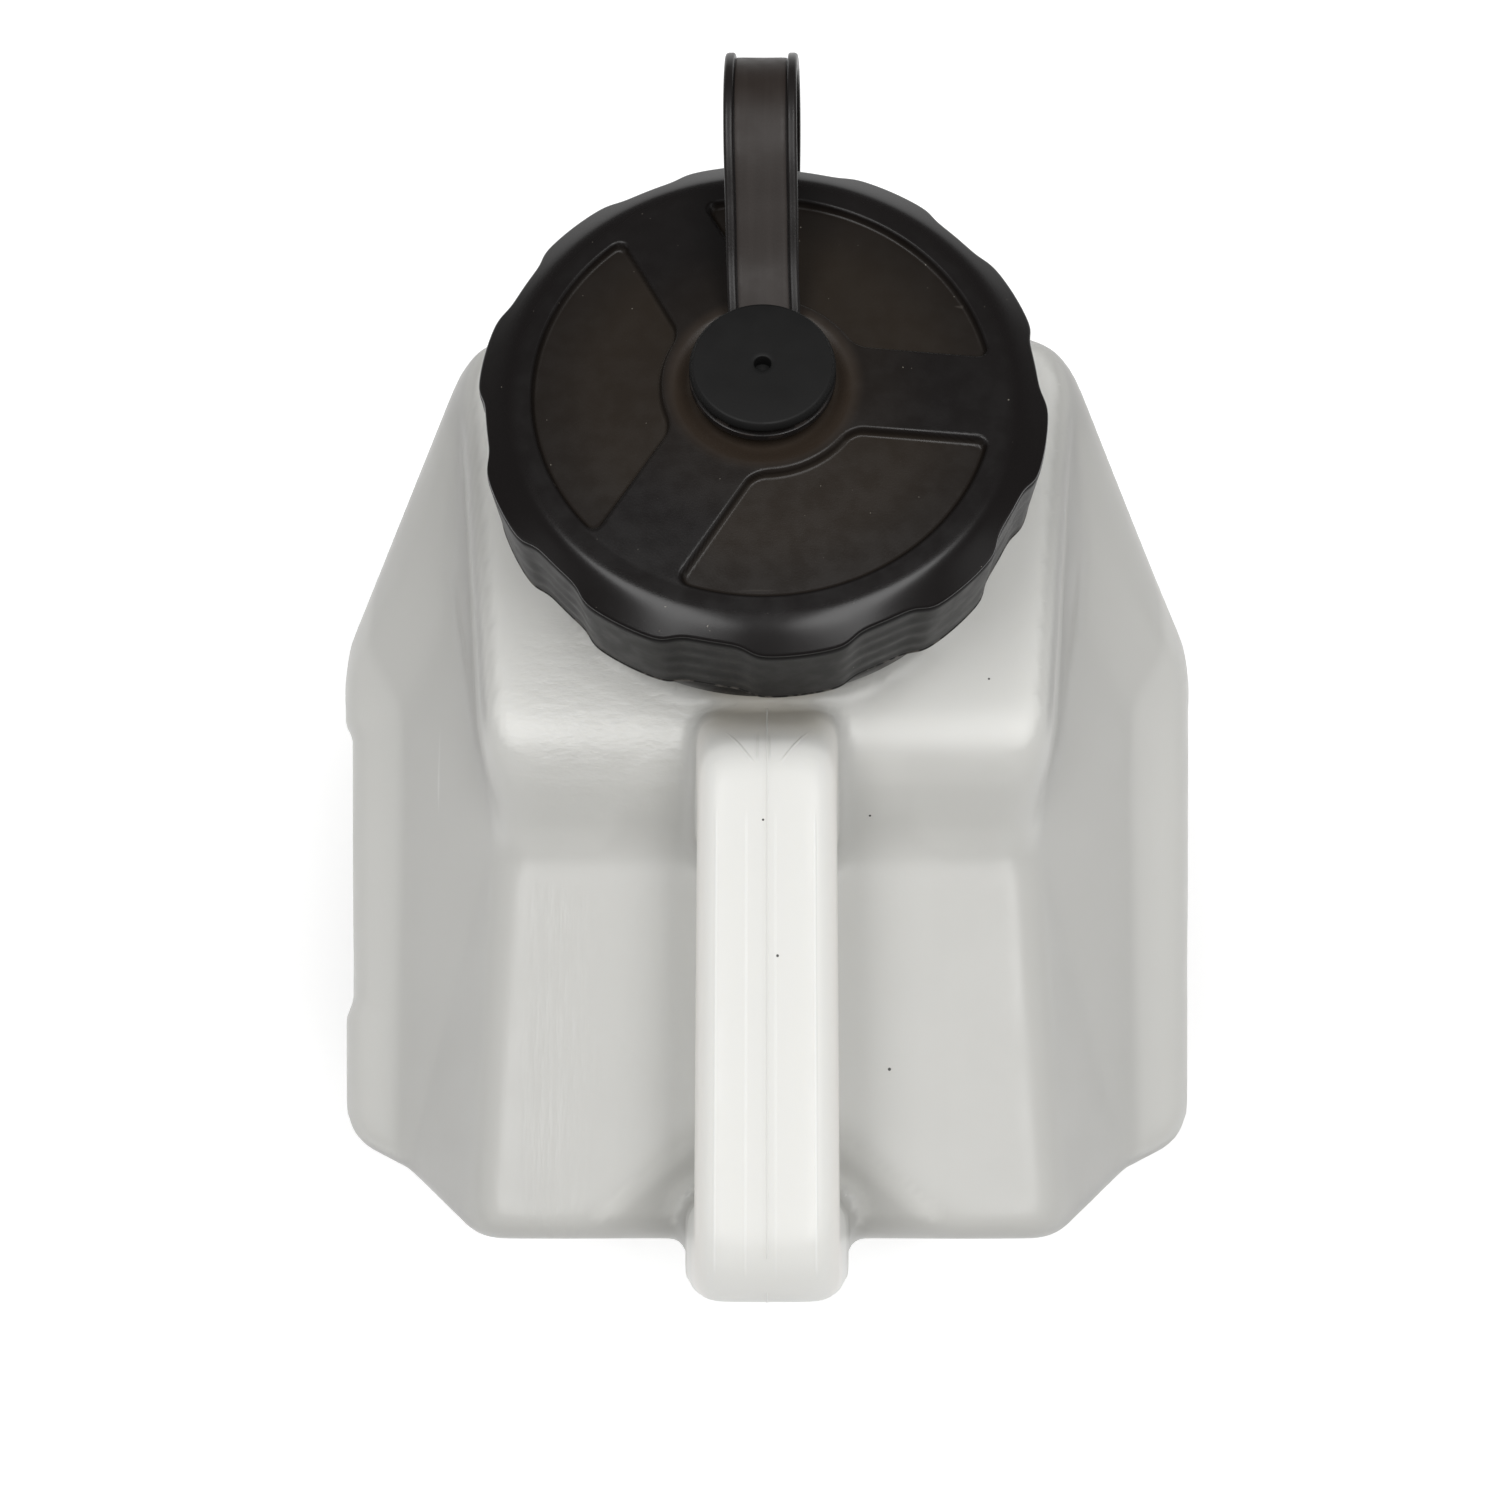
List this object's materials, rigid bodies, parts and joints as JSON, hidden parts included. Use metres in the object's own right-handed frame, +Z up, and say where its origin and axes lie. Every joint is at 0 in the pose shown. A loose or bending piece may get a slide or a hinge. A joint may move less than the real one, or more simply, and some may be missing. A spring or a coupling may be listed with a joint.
{
  "type": "plastic jerrycan",
  "caption": "Empty wide-neck plastic jerrycan with a moulded-in carrying handle, a scalloped screw lid on a tether strap and a vent button; holds, carries and pours liquids.",
  "frame": {"origin": "centre of the flat base, midway between the front and rear walls and between the side walls", "axes": "+Z up out of the base, +Y forward to the neck and lid, +X to the side across the handle"},
  "size_m": [0.2082, 0.257, 0.321],
  "materials": {
    "milky_plastic": "natural blow-moulded polyethylene, milky and slightly translucent, satin",
    "lid_plastic": "brownish black injection-moulded plastic, satin",
    "strap_plastic": "soft brown-grey plastic, satin",
    "button_plastic": "matt black plastic"
  },
  "bodies": {
    "root": {"jerrycan_body": "milky_plastic", "lid": "lid_plastic", "tether": "strap_plastic", "vent_button": "button_plastic"}
  },
  "joints": []
}
